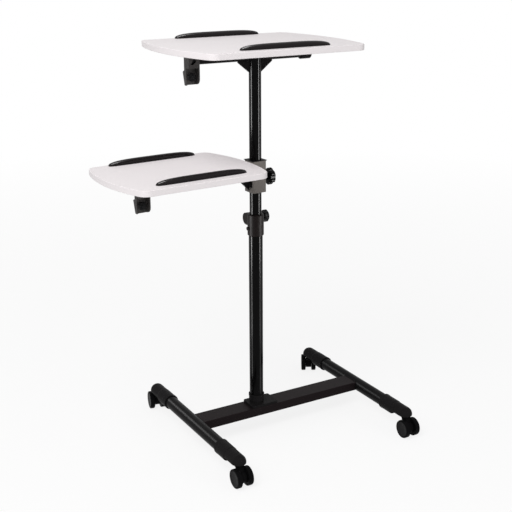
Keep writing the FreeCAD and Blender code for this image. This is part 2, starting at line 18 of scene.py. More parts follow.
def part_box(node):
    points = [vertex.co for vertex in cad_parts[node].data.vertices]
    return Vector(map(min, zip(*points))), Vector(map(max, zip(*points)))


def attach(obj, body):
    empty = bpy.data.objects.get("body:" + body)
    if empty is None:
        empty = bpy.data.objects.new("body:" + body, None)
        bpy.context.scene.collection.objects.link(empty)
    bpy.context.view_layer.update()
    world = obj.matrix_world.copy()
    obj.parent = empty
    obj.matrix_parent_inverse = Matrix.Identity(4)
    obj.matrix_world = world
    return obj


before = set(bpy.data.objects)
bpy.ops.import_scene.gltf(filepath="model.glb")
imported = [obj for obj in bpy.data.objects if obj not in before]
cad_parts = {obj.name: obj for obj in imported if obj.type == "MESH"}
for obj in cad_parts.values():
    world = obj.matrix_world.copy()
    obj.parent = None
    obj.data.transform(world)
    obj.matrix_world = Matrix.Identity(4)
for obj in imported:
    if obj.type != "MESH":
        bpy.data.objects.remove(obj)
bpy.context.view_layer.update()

LOG = logging.getLogger("projector_table")
MM = 0.001

Triple = tuple[float, float, float]
Section = tuple[float, float]

AXIS_X = Vector((1.0, 0.0, 0.0))
AXIS_Y = Vector((0.0, 1.0, 0.0))
AXIS_Z = Vector((0.0, 0.0, 1.0))

WHITE: Triple = (1.0, 1.0, 1.0)
MERGE_DISTANCE = 0.001 * MM
COLUMN = ("lower_tube", "upper_tube", "height_collar", "height_knob", "side_clamp_knob")
LEGS = ("left_leg_tube", "right_leg_tube")
STOPS = ("upper_front_stop", "upper_back_stop", "side_front_stop", "side_back_stop")
SIDE_TURN_DEGREES = 3.7
UPPER_TILT_KNOB_X = -183.8 * MM
SIDE_TILT_KNOB_X = -339.3 * MM


class Corner(Enum):
    """Corner of the base that a leg cap and its caster belong to."""

    FRONT_LEFT = "front_left"
    FRONT_RIGHT = "front_right"
    BACK_LEFT = "back_left"
    BACK_RIGHT = "back_right"


class ShelfPlace(Enum):
    """Which of the two shelves a piece belongs to."""

    UPPER = "upper"
    SIDE = "side"


class Polygon(Enum):
    """Number of sides of the polygon that a round ring is pulled in to."""

    SQUARE = 4
    HEXAGON = 6


CASTER_TURNS = {Corner.BACK_LEFT: -12.0, Corner.BACK_RIGHT: -30.0}


class SubAssembly(Protocol):
    """Anything that builds and dresses one part of the table."""

    def build(self) -> None:
        """Build and dress the sub-assembly."""


def surface_group(mottle_detail: float = 4.0, grain_detail: float = 2.0) -> bpy.types.NodeTree:
    """Build the shared group that varies a finish's colour, gloss and relief over the surface.

    Args:
        mottle_detail: The octaves of the slow change of colour.
        grain_detail: The octaves of the fine grain.

    Returns:
        The node group, with Color, Roughness and Height outputs.
    """
    group = bpy.data.node_groups.new("finish_variation", "ShaderNodeTree")
    for name, kind in (("Color", "NodeSocketColor"), ("Second Color", "NodeSocketColor"),
                       ("Mottle Scale", "NodeSocketFloat"), ("Grain Scale", "NodeSocketFloat"),
                       ("Rough Low", "NodeSocketFloat"), ("Rough High", "NodeSocketFloat")):
        group.interface.new_socket(name=name, in_out="INPUT", socket_type=kind)
    for name, kind in (("Color", "NodeSocketColor"), ("Roughness", "NodeSocketFloat"),
                       ("Height", "NodeSocketFloat")):
        group.interface.new_socket(name=name, in_out="OUTPUT", socket_type=kind)
    nodes, links = group.nodes, group.links
    entry = nodes.new("NodeGroupInput")
    leave = nodes.new("NodeGroupOutput")
    place = nodes.new("ShaderNodeTexCoord")
    mottle = nodes.new("ShaderNodeTexNoise")
    mottle.inputs["Detail"].default_value = mottle_detail
    grain = nodes.new("ShaderNodeTexNoise")
    grain.inputs["Detail"].default_value = grain_detail
    pits = nodes.new("ShaderNodeTexVoronoi")
    blend = nodes.new("ShaderNodeMix")
    blend.data_type = "RGBA"
    gloss = nodes.new("ShaderNodeMapRange")
    relief = nodes.new("ShaderNodeMath")
    relief.operation = "MULTIPLY"
    links.new(place.outputs["Object"], mottle.inputs["Vector"])
    links.new(place.outputs["Object"], grain.inputs["Vector"])
    links.new(place.outputs["Object"], pits.inputs["Vector"])
    links.new(entry.outputs["Mottle Scale"], mottle.inputs["Scale"])
    links.new(entry.outputs["Grain Scale"], grain.inputs["Scale"])
    links.new(entry.outputs["Grain Scale"], pits.inputs["Scale"])
    links.new(mottle.outputs["Fac"], blend.inputs["Factor"])
    links.new(entry.outputs["Color"], blend.inputs["A"])
    links.new(entry.outputs["Second Color"], blend.inputs["B"])
    links.new(grain.outputs["Fac"], gloss.inputs["Value"])
    links.new(entry.outputs["Rough Low"], gloss.inputs["To Min"])
    links.new(entry.outputs["Rough High"], gloss.inputs["To Max"])
    links.new(grain.outputs["Fac"], relief.inputs[0])
    links.new(pits.outputs["Distance"], relief.inputs[1])
    links.new(blend.outputs["Result"], leave.inputs["Color"])
    links.new(gloss.outputs["Result"], leave.inputs["Roughness"])
    links.new(relief.outputs["Value"], leave.inputs["Height"])
    return group


SURFACE = surface_group()


def opaque(color: Triple) -> tuple[float, float, float, float]:
    """Give a colour its alpha of one."""
    return (*color, 1.0)


class NodeFinish:
    """A finish that can be put on CAD nodes."""

    def material(self) -> bpy.types.Material:
        """Return the finish's material."""
        raise NotImplementedError

    def dress(self, *names: str) -> None:
        """Put this finish on CAD nodes.

        Args:
            names: The names of the CAD nodes.
        """
        for name in names:
            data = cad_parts[name].data
            data.materials.clear()
            data.materials.append(self.material())
            LOG.info("node %s wears %s", name, self.material().name)


@dataclass(frozen=True)
class Finish(NodeFinish):
    """One surface finish: its colours, gloss and fine relief, and the shader that shows them."""

    name: str
    slot: str
    color: Triple
    second_color: Triple
    roughness: tuple[float, float]
    specular: float
    mottle_scale: float
    grain_scale: float
    relief_depth: float
    relief_strength: float
    metallic: float = 0.0

    def material(self) -> bpy.types.Material:
        """Return this finish's material, building it on first use.

        Returns:
            The Blender material.
        """
        found = bpy.data.materials.get(self.name)
        if found is not None:
            return found
        material = bpy.data.materials.new(self.name)
        material.use_nodes = True
        nodes, links = material.node_tree.nodes, material.node_tree.links
        shader = nodes["Principled BSDF"]
        shader.inputs["Specular IOR Level"].default_value = self.specular
        shader.inputs["Metallic"].default_value = self.metallic
        surface = nodes.new("ShaderNodeGroup")
        surface.node_tree = SURFACE
        surface.inputs["Color"].default_value = opaque(self.color)
        surface.inputs["Second Color"].default_value = opaque(self.second_color)
        surface.inputs["Mottle Scale"].default_value = self.mottle_scale
        surface.inputs["Grain Scale"].default_value = self.grain_scale
        surface.inputs["Rough Low"].default_value = self.roughness[0]
        surface.inputs["Rough High"].default_value = self.roughness[1]
        bump = nodes.new("ShaderNodeBump")
        bump.inputs["Strength"].default_value = self.relief_strength
        bump.inputs["Distance"].default_value = self.relief_depth
        links.new(surface.outputs["Color"], shader.inputs["Base Color"])
        links.new(surface.outputs["Roughness"], shader.inputs["Roughness"])
        links.new(surface.outputs["Height"], bump.inputs["Height"])
        links.new(bump.outputs["Normal"], shader.inputs["Normal"])
        return material


POWDER_COAT = Finish(
    name="black_powder_coat", slot="black_tube", color=(0.0012, 0.0011, 0.0012),
    second_color=(0.0020, 0.0019, 0.0020), roughness=(0.15, 0.17), specular=0.055,
    mottle_scale=9.0, grain_scale=300.0, relief_depth=0.00002, relief_strength=0.02,
)
LEG_COAT = Finish(
    name="leg_powder_coat", slot="black_tube", color=(0.0052, 0.0049, 0.0051),
    second_color=(0.0074, 0.0070, 0.0072), roughness=(0.27, 0.31), specular=0.030,
    mottle_scale=9.0, grain_scale=300.0, relief_depth=0.00002, relief_strength=0.02,
)
RAIL_COAT = Finish(
    name="rail_powder_coat", slot="black_tube", color=(0.0082, 0.0077, 0.0080),
    second_color=(0.0112, 0.0106, 0.0109), roughness=(0.20, 0.26), specular=0.020,
    mottle_scale=9.0, grain_scale=500.0, relief_depth=0.00003, relief_strength=0.03,
)
CROSSBAR_COAT = Finish(
    name="crossbar_powder_coat", slot="black_tube", color=(0.0100, 0.0072, 0.0078),
    second_color=(0.0130, 0.0096, 0.0103), roughness=(0.34, 0.44), specular=0.030,
    mottle_scale=9.0, grain_scale=900.0, relief_depth=0.00006, relief_strength=0.10,
)
CAP_PLASTIC = Finish(
    name="charcoal_moulding", slot="black_plastic", color=(0.0092, 0.0087, 0.0090),
    second_color=(0.0132, 0.0124, 0.0128), roughness=(0.32, 0.44), specular=0.018,
    mottle_scale=14.0, grain_scale=1500.0, relief_depth=0.00008, relief_strength=0.15,
)
COLLAR_PLASTIC = Finish(
    name="warm_grey_moulding", slot="black_plastic", color=(0.0108, 0.0078, 0.0076),
    second_color=(0.0142, 0.0106, 0.0103), roughness=(0.42, 0.47), specular=0.045,
    mottle_scale=12.0, grain_scale=1400.0, relief_depth=0.00008, relief_strength=0.08,
)
KNOB_PLASTIC = Finish(
    name="knob_moulding", slot="knob_plastic", color=(0.0100, 0.0100, 0.0105),
    second_color=(0.0145, 0.0142, 0.0148), roughness=(0.24, 0.30), specular=0.03,
    mottle_scale=20.0, grain_scale=1800.0, relief_depth=0.00006, relief_strength=0.12,
)
STAR_PLASTIC = Finish(
    name="star_knob_moulding", slot="knob_plastic", color=(0.0025, 0.0025, 0.0027),
    second_color=(0.0040, 0.0039, 0.0041), roughness=(0.18, 0.22), specular=0.03,
    mottle_scale=20.0, grain_scale=1800.0, relief_depth=0.00005, relief_strength=0.05,
)
STOP_PLASTIC = Finish(
    name="stop_strip_moulding", slot="stop_plastic", color=(0.0068, 0.0050, 0.0055),
    second_color=(0.0092, 0.0070, 0.0076), roughness=(0.20, 0.26), specular=0.14,
    mottle_scale=10.0, grain_scale=1200.0, relief_depth=0.00004, relief_strength=0.06,
)
CLAMP_PAINT = Finish(
    name="grey_clamp_paint", slot="clamp_steel", color=(0.1560, 0.1420, 0.1310),
    second_color=(0.1920, 0.1760, 0.1630), roughness=(0.40, 0.54), specular=0.12,
    mottle_scale=16.0, grain_scale=1100.0, relief_depth=0.00010, relief_strength=0.20,
)
# Dark clamp paint, darkened further by painted shade: it stands in for the shadow that the boards cast
# on the tilt clamps under them.
TILT_PAINT_AND_SHADE = Finish(
    name="dark_clamp_paint_and_painted_shade", slot="clamp_steel", color=(0.0450, 0.0412, 0.0400),
    second_color=(0.0600, 0.0552, 0.0536), roughness=(0.36, 0.50), specular=0.12,
    mottle_scale=16.0, grain_scale=1100.0, relief_depth=0.00010, relief_strength=0.15,
)
WHEEL_PLASTIC = Finish(
    name="wheel_moulding", slot="wheel_plastic", color=(0.0030, 0.0030, 0.0033),
    second_color=(0.0048, 0.0046, 0.0049), roughness=(0.36, 0.48), specular=0.02,
    mottle_scale=18.0, grain_scale=1600.0, relief_depth=0.00008, relief_strength=0.15,
)
WHEEL_COVER = Finish(
    name="wheel_cover_moulding", slot="wheel_plastic", color=(0.0150, 0.0148, 0.0152),
    second_color=(0.0200, 0.0196, 0.0202), roughness=(0.34, 0.46), specular=0.020,
    mottle_scale=18.0, grain_scale=1600.0, relief_depth=0.00008, relief_strength=0.15,
)
SCREW_BLACK = Finish(
    name="blackened_screw", slot="black_tube", color=(0.0300, 0.0290, 0.0280),
    second_color=(0.0480, 0.0460, 0.0440), roughness=(0.32, 0.45), specular=0.50,
    mottle_scale=60.0, grain_scale=1400.0, relief_depth=0.00008, relief_strength=0.20, metallic=0.8,
)


@dataclass(frozen=True)
class BoardFinish(NodeFinish):
    """White melamine: a faint fibre figure in the colour and a fine stipple in the gloss."""

    name: str = "white_melamine"
    slot: str = "white_board"
    color: Triple = (0.815, 0.775, 0.785)
    fibre_color: Triple = (0.790, 0.748, 0.757)
    roughness: tuple[float, float] = (0.46, 0.52)
    specular: float = 0.10
    fibre_stretch: Triple = (6.0, 60.0, 60.0)
    fibre_scale: float = 2.2
    stipple_scale: float = 900.0
    stipple_depth: float = 0.0001
    stipple_strength: float = 0.02
    fibre_detail: float = 6.0

    def material(self) -> bpy.types.Material:
        """Return the board's material, building it on first use.

        Returns:
            The Blender material.
        """
        found = bpy.data.materials.get(self.name)
        if found is not None:
            return found
        material = bpy.data.materials.new(self.name)
        material.use_nodes = True
        nodes, links = material.node_tree.nodes, material.node_tree.links
        shader = nodes["Principled BSDF"]
        shader.inputs["Specular IOR Level"].default_value = self.specular
        place = nodes.new("ShaderNodeTexCoord")
        stretch = nodes.new("ShaderNodeMapping")
        stretch.inputs["Scale"].default_value = self.fibre_stretch
        fibre = nodes.new("ShaderNodeTexNoise")
        fibre.inputs["Scale"].default_value = self.fibre_scale
        fibre.inputs["Detail"].default_value = self.fibre_detail
        tint = nodes.new("ShaderNodeMix")
        tint.data_type = "RGBA"
        tint.inputs["A"].default_value = opaque(self.color)
        tint.inputs["B"].default_value = opaque(self.fibre_color)
        stipple = nodes.new("ShaderNodeTexNoise")
        stipple.inputs["Scale"].default_value = self.stipple_scale
        gloss = nodes.new("ShaderNodeMapRange")
        gloss.inputs["To Min"].default_value = self.roughness[0]
        gloss.inputs["To Max"].default_value = self.roughness[1]
        bump = nodes.new("ShaderNodeBump")
        bump.inputs["Strength"].default_value = self.stipple_strength
        bump.inputs["Distance"].default_value = self.stipple_depth
        links.new(place.outputs["Object"], stretch.inputs["Vector"])
        links.new(stretch.outputs["Vector"], fibre.inputs["Vector"])
        links.new(place.outputs["Object"], stipple.inputs["Vector"])
        links.new(fibre.outputs["Fac"], tint.inputs["Factor"])
        links.new(tint.outputs["Result"], shader.inputs["Base Color"])
        links.new(stipple.outputs["Fac"], gloss.inputs["Value"])
        links.new(gloss.outputs["Result"], shader.inputs["Roughness"])
        links.new(stipple.outputs["Fac"], bump.inputs["Height"])
        links.new(bump.outputs["Normal"], shader.inputs["Normal"])
        return material


MELAMINE = BoardFinish()


def facing(axis: Vector) -> Matrix:
    """Return the turn that brings +Z onto an axis.

    Args:
        axis: The direction to face.

    Returns:
        A 4x4 rotation matrix.
    """
    return axis.to_track_quat("Z", "Y").to_matrix().to_4x4()


def turned_about_z(degrees: float) -> Matrix:
    """Return the 3x3 turn about an upright axis."""
    return Matrix.Rotation(math.radians(degrees), 3, "Z")


class Workpiece:
    """A mesh in the making: bmesh operators add shapes, which become one named piece."""

    HEAD_SHAPE = ((0.0, 1.0), (0.45, 1.0), (0.75, 0.93), (0.92, 0.80), (1.0, 0.66))
    SOCKET_SHARE = 0.52
    SOCKET_DEPTH_SHARE = 0.55
    HEAD_SIDES = 24
    BEAD_PITCH = 4.0 * MM
    BEAD_SIDES = 10
    BEAD_LEAST_RINGS = 4
    BEAD_VALLEY = 0.84
    BEAD_END_REACH = 0.5
    BEAD_END_RADIUS = 0.3

    def __init__(self, name: str, finish: Finish, body: str) -> None:
        """Start an empty piece.

        Args:
            name: The piece's name.
            finish: The finish it is dressed with.
            body: The CAD body it rides on.
        """
        self.name = name
        self.finish = finish
        self.body = body
        self.mesh = bmesh.new()

    def first_ring(self, foot: Vector, axis: Vector, radius: float, sides: int, capped: bool) -> list:
        """Add the ring that a solid starts from.

        Args:
            foot: The ring's centre.
            axis: The ring's axis.
            radius: The ring's radius.
            sides: The number of sides.
            capped: Whether the ring is closed by a face.

        Returns:
            The ring's edges.
        """
        place = Matrix.Translation(foot) @ facing(axis)
        made = bmesh.ops.create_circle(self.mesh, cap_ends=capped, radius=radius, segments=sides,
                                       matrix=place)
        return list(dict.fromkeys(edge for vert in made["verts"] for edge in vert.link_edges))

    def next_ring(self, edges: list, centre: Vector, axis: Vector, share: float, shift: float) -> list:
        """Extrude a ring along its axis and change its radius.

        Args:
            edges: The ring's edges.
            centre: The ring's centre.
            axis: The ring's axis.
            share: The new radius as a share of the old one.
            shift: The distance that the new ring moves along the axis.

        Returns:
            The new ring's edges.
        """
        made = bmesh.ops.extrude_edge_only(self.mesh, edges=edges)["geom"]
        verts = [item for item in made if isinstance(item, bmesh.types.BMVert)]
        fresh = set(verts)
        space = (Matrix.Translation(centre) @ facing(axis)).inverted()
        bmesh.ops.scale(self.mesh, vec=(share, share, 1.0), space=space, verts=verts)
        bmesh.ops.translate(self.mesh, vec=axis * shift, verts=verts)
        return [item for item in made
                if isinstance(item, bmesh.types.BMEdge) and fresh.issuperset(item.verts)]

    def loops(self, sections: Sequence[Section], foot: Vector, axis: Vector, sides: int = 32,
              closed: bool = True) -> list:
        """Add a round or prismatic solid by extruding a ring through its sections.

        Args:
            sections: Pairs of distance along the axis and ring radius.
            foot: The point that distances are measured from.
            axis: The direction of the axis.
            sides: The number of sides of each ring.
            closed: Whether the last ring gets a cap.

        Returns:
            The last ring's edges.
        """
        along, radius = sections[0]
        ring = self.first_ring(foot + axis * along, axis, radius, sides, capped=True)
        for next_along, next_radius in sections[1:]:
            ring = self.next_ring(ring, foot + axis * along, axis, next_radius / radius,
                                  next_along - along)
            along, radius = next_along, next_radius
        if closed:
            bmesh.ops.edgeloop_fill(self.mesh, edges=ring)
        return ring

    def socket_screw(self, seat: Vector, axis: Vector, radius: float, height: float) -> None:
        """Add a button-head screw with a hexagonal socket.

        Args:
            seat: The middle of the face that the head sits on.
            axis: The direction in which the head stands out.
            radius: The head's radius.
            height: The head's height.
        """
        sections = [(height * rise, radius * share) for rise, share in self.HEAD_SHAPE]
        rim = self.loops(sections, seat, axis, self.HEAD_SIDES, closed=False)
        top = seat + axis * height
        mouth = self.next_ring(rim, top, axis, self.SOCKET_SHARE / self.HEAD_SHAPE[-1][1], 0.0)
        self.square_off(mouth, top, axis, Polygon.HEXAGON)
        floor = self.next_ring(mouth, top, axis, 1.0, -self.SOCKET_DEPTH_SHARE * height)
        bmesh.ops.edgeloop_fill(self.mesh, edges=floor)

    @staticmethod
    def square_off(ring: list, centre: Vector, axis: Vector, polygon: Polygon) -> None:
        """Pull a round ring in to a polygon.

        Args:
            ring: The ring's edges.
            centre: The ring's centre.
            axis: The ring's axis.
            polygon: The polygon's kind.
        """
        sector = 2 * math.pi / polygon.value
        out = axis.orthogonal().normalized()
        side = axis.cross(out)
        for vert in dict.fromkeys(vert for edge in ring for vert in edge.verts):
            arm = vert.co - centre
            angle = math.atan2(arm.dot(side), arm.dot(out)) % sector - sector / 2
            vert.co = centre + arm * math.cos(sector / 2) / math.cos(angle)

    @staticmethod
    def round_off(ring: list, centre: Vector, radius: float) -> None:
        """Set a ring's corners on a circle.

        Args:
            ring: The ring's edges.
            centre: The circle's centre.
            radius: The circle's radius.
        """
        for vert in dict.fromkeys(vert for edge in ring for vert in edge.verts):
            vert.co = centre + (vert.co - centre).normalized() * radius

    def bead(self, start: Vector, end: Vector, radius: float) -> None:
        """Add a rippled weld bead along a straight joint.

        Args:
            start: The joint's first point.
            end: The joint's last point.
            radius: The bead's radius.
        """
        axis = (end - start).normalized()
        length = (end - start).length
        count = max(self.BEAD_LEAST_RINGS, int(length / self.BEAD_PITCH) * 2)
        reach, end_radius = radius * self.BEAD_END_REACH, radius * self.BEAD_END_RADIUS
        sections = [(-reach, end_radius)]
        for index in range(count + 1):
            swell = 1.0 if index % 2 else self.BEAD_VALLEY
            sections.append((length * index / count, radius * swell))
        sections.append((length + reach, end_radius))
        self.loops(sections, start, axis, sides=self.BEAD_SIDES)

    def done(self, smooth_degrees: float = 38.0) -> bpy.types.Object:
        """Close the mesh, link it, dress it and let it ride on its body.

        Args:
            smooth_degrees: Edges sharper than this stay sharp.

        Returns:
            The finished piece.
        """
        bmesh.ops.remove_doubles(self.mesh, verts=self.mesh.verts, dist=MERGE_DISTANCE)
        bmesh.ops.recalc_face_normals(self.mesh, faces=self.mesh.faces)
        for face in self.mesh.faces:
            face.smooth = True
        data = bpy.data.meshes.new(self.name)
        self.mesh.to_mesh(data)
        self.mesh.free()
        data.set_sharp_from_angle(angle=math.radians(smooth_degrees))
        data.materials.append(self.finish.material())
        piece = bpy.data.objects.new(self.name, data)
        bpy.context.scene.collection.objects.link(piece)
        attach(piece, self.body)
        LOG.info("piece %s rides on %s", self.name, self.body)
        return piece


@dataclass(frozen=True)
class KnobCap:
    """Round insert in a knob's face: a raised rim round a shallow dish."""

    rise: float
    crest: float
    crest_in: float
    dish: float
    sides: int
    sunk: float = 0.5 * MM
    dish_share: float = 0.7
    eye_share: float = 0.15

    def add(self, piece: Workpiece, face: Vector, axis: Vector, radius: float) -> None:
        """Add the insert to a piece.

        Args:
            piece: The piece that takes it.
            face: The middle of the knob's face.
            axis: The direction in which the face looks.
            radius: The insert's radius.
        """
        piece.loops([
            (-self.sunk, radius), (self.rise, radius), (self.crest, radius - self.crest_in),
            (self.dish, radius * self.dish_share), (self.dish, radius * self.eye_share),
        ], face, axis, self.sides)


def middle(node: str) -> Vector:
    """Return the middle of a CAD node's box."""
    low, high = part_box(node)
    return (low + high) / 2


def column_axis() -> Vector:
    """Return the foot of the column's axis on the floor."""
    centre = middle("lower_tube")
    return Vector((centre.x, centre.y, 0.0))


@dataclass
class Caster:
    """Dress of one twin-wheel caster and the leg cap above it."""

    corner: Corner
    turn_degrees: float
    face_offset: float = 22.5 * MM
    dish_depth: float = 1.2 * MM
    cover_radius: float = 21.2 * MM
    cover_edge: float = 0.5 * MM
    cover_hollow: float = 0.35 * MM
    cover_seat: float = 0.1 * MM
    rim_edges: int = 3
    dish_edges: int = 5
    eye_share: float = 0.2
    cover_sides: int = 64

    def node(self, kind: str) -> str:
        """Return the name of this corner's CAD node of a kind."""
        return f"{self.corner.value}_{kind}"

    def dress(self) -> None:
        """Give this corner's CAD nodes their finishes."""
        CAP_PLASTIC.dress(self.node("leg_cap"))
        WHEEL_PLASTIC.dress(self.node("caster_body"), self.node("wheels"))

    def covers(self) -> None:
        """Build the plain round covers let into the wheels' outer faces."""
        centre = middle(self.node("wheels"))
        axle = turned_about_z(self.turn_degrees) @ AXIS_X
        floor = self.cover_seat - self.dish_depth
        piece = Workpiece(self.node("wheel_covers"), WHEEL_COVER, self.node("wheels"))
        for out in (axle, -axle):
            piece.loops([
                (floor, self.cover_radius),
                (-self.cover_edge, self.cover_radius),
                (0.0, self.cover_radius - self.cover_edge),
                (0.0, self.cover_radius - self.rim_edges * self.cover_edge),
                (-self.cover_hollow, self.cover_radius - self.dish_edges * self.cover_edge),
                (-self.cover_hollow, self.cover_radius * self.eye_share),
            ], centre + out * self.face_offset, out, self.cover_sides)
        piece.done()

    def build(self) -> None:
        """Build and dress everything at this corner."""
        self.dress()
        self.covers()


@dataclass
class Base:
    """Dress of the legs, the crossbar and the column's foot."""

    bead_radius: float = 1.6 * MM
    bead_inset: float = 4.0 * MM

    def dress(self) -> None:
        """Give the base's CAD nodes their finishes."""
        POWDER_COAT.dress("lower_tube")
        LEG_COAT.dress(*LEGS)
        CROSSBAR_COAT.dress("crossbar")
        CAP_PLASTIC.dress("column_foot")

    def welds(self) -> None:
        """Build the weld beads where the crossbar meets the leg tubes."""
        bar_low, bar_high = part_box("crossbar")
        piece = Workpiece("crossbar_welds", LEG_COAT, "base")
        for node, side in (("left_leg_tube", 1.0), ("right_leg_tube", -1.0)):
            low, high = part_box(node)
            centre = (low + high) / 2
            radius = (high.x - low.x) / 2
            rise = bar_high.z - centre.z
            joint_x = centre.x + side * math.sqrt(radius ** 2 - rise ** 2)
            piece.bead(Vector((joint_x, bar_low.y + self.bead_inset, bar_high.z)),
                       Vector((joint_x, bar_high.y - self.bead_inset, bar_high.z)), self.bead_radius)
        piece.done()

    def build(self) -> None:
        """Build and dress the base."""
        self.dress()
        self.welds()


@dataclass
class HeightClamp:
    """Dress of the collar and knob that lock the column's height."""

    cap_share: float = 0.42
    cap: KnobCap = KnobCap(rise=0.3 * MM, crest=0.8 * MM, crest_in=0.6 * MM, dish=0.5 * MM, sides=40)

    def dress(self) -> None:
        """Give the clamp's CAD nodes their finishes."""
        COLLAR_PLASTIC.dress("height_collar")
        KNOB_PLASTIC.dress("height_knob")

    def knob_cap(self) -> None:
        """Build the round insert in the knob's face."""
        low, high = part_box("height_knob")
        radius = (high.z - low.z) / 2 * self.cap_share
        foot = Vector((high.x, (low.y + high.y) / 2, (low.z + high.z) / 2))
        piece = Workpiece("height_knob_cap", CAP_PLASTIC, "height_knob")
        self.cap.add(piece, foot, AXIS_X, radius)
        piece.done()

    def build(self) -> None:
        """Build and dress the height clamp."""
        self.dress()
        self.knob_cap()


@dataclass
class Mast:
    """Dress of the sliding upper tube with the rail and gussets on its top."""

    bead_radius: float = 1.6 * MM
    bead_end: float = 2.0 * MM
    bead_top_end: float = 1.0 * MM
    plug_depth: float = 6.0 * MM
    plug_wall: float = 1.6 * MM
    plug_step: float = 0.2 * MM
    plug_draft: float = 0.3 * MM
    plug_lip: float = 1.5 * MM
    plug_height: float = 2.5 * MM
    plug_side_share: float = 0.6
    eye_share: float = 0.2
    plug_sides: int = 48

    def dress(self) -> None:
        """Give the mast's CAD nodes their finishes."""
        POWDER_COAT.dress("upper_tube")
        RAIL_COAT.dress("upper_rail", "left_gusset", "right_gusset")

    def welds(self) -> None:
        """Build the weld beads along the gussets."""
        piece = Workpiece("gusset_welds", RAIL_COAT, "mast")
        for node, tube_on_right in (("left_gusset", True), ("right_gusset", False)):
            low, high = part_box(node)
            tube_x = high.x if tube_on_right else low.x
            for y in (low.y, high.y):
                piece.bead(Vector((tube_x, y, low.z + self.bead_end)),
                           Vector((tube_x, y, high.z - self.bead_top_end)), self.bead_radius)
                piece.bead(Vector((low.x + self.bead_end, y, high.z)),
                           Vector((high.x - self.bead_end, y, high.z)), self.bead_radius)
        piece.done()

    def end_plug(self) -> None:
        """Build the plastic plug in the rail's open end."""
        low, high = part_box("upper_rail")
        radius = (high.z - low.z) / 2
        foot = Vector((high.x, (low.y + high.y) / 2, (low.z + high.z) / 2))
        piece = Workpiece("upper_rail_plug", CAP_PLASTIC, "mast")
        piece.loops([
            (-self.plug_depth, radius - self.plug_wall),
            (0.0, radius - self.plug_wall),
            (0.0, radius - self.plug_step),
            (self.plug_height * self.plug_side_share, radius - self.plug_draft),
            (self.plug_height, radius - self.plug_lip),
            (self.plug_height, radius * self.eye_share),
        ], foot, AXIS_X, self.plug_sides)
        piece.done()

    def build(self) -> None:
        """Build and dress the mast."""
        self.dress()
        self.welds()
        self.end_plug()


@dataclass
class Shelf:
    """Dress of one board with its stop strips, saddle and tilt clamp."""

    place: ShelfPlace
    turn_degrees: float
    tilt_knob_x: float
    tilt_knob_face: float = 13.0 * MM
    screw_radius: float = 4.0 * MM
    screw_height: float = 2.2 * MM
    strip_screw_spread: float = 85.0 * MM
    saddle_screw_along: float = 13.0 * MM
    saddle_screw_half: float = 12.5 * MM
    saddle_flange: float = 5.0 * MM
    cap_share: float = 0.40
    cap: KnobCap = KnobCap(rise=0.4 * MM, crest=0.9 * MM, crest_in=0.6 * MM, dish=0.6 * MM, sides=40)

    def node(self, kind: str) -> str:
        """Return the name of this shelf's CAD node of a kind."""
        return f"{self.place.value}_{kind}"

    def body(self) -> str:
        """Return the name of the body that this shelf's pieces ride on."""
        return self.node("shelf")

    def turned(self, x: float, y: float, z: float) -> Vector:
        """Turn a point of the straight shelf to its place round the column.

        Args:
            x: Distance from the column's axis along the rail.
            y: Distance from the column's axis across the rail.
            z: Height above the floor.

        Returns:
            The point in the part's frame.
        """
        return column_axis() + turned_about_z(self.turn_degrees) @ Vector((x, y, z))

    def straight(self, point: Vector) -> Vector:
        """Undo the shelf's turn for a point of the part's frame."""
        return turned_about_z(-self.turn_degrees) @ (point - column_axis())

    def dress(self) -> None:
        """Give the shelf's CAD nodes their finishes."""
        MELAMINE.dress(self.node("board"))
        STOP_PLASTIC.dress(self.node("front_stop"), self.node("back_stop"))
        CAP_PLASTIC.dress(self.node("saddle"))
        # The tilt clamp's colour holds painted shade from the board above it.
        TILT_PAINT_AND_SHADE.dress(self.node("tilt_clamp"))
        KNOB_PLASTIC.dress(self.node("tilt_knob"))

    def screws(self) -> None:
        """Build the screws under the board that hold the strips and the saddle."""
        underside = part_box(self.node("board"))[0].z
        piece = Workpiece(self.node("board_screws"), SCREW_BLACK, self.body())
        for strip in ("front_stop", "back_stop"):
            centre = self.straight(middle(self.node(strip)))
            for share in (-1.0, 0.0, 1.0):
                seat = self.turned(centre.x + share * self.strip_screw_spread, centre.y, underside)
                piece.socket_screw(seat, -AXIS_Z, self.screw_radius, self.screw_height)
        saddle = self.straight(middle(self.node("saddle")))
        for side in (-1.0, 1.0):
            seat = self.turned(saddle.x + self.saddle_screw_along,
                               saddle.y + side * self.saddle_screw_half,
                               underside - self.saddle_flange)
            piece.socket_screw(seat, -AXIS_Z, self.screw_radius, self.screw_height)
        piece.done()

    def knob_cap(self) -> None:
        """Build the round insert in the tilt knob's face."""
        low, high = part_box(self.node("tilt_knob"))
        radius = (high.z - low.z) / 2 * self.cap_share
        axis = turned_about_z(self.turn_degrees) @ -AXIS_Y
        face = self.turned(self.tilt_knob_x, -self.tilt_knob_face, (low.z + high.z) / 2)
        piece = Workpiece(self.node("tilt_knob_cap"), WHEEL_COVER, self.node("tilt_knob"))
        self.cap.add(piece, face, axis, radius)
        piece.done()

    def build(self) -> None:
        """Build and dress this shelf."""
        self.dress()
        self.screws()
        self.knob_cap()


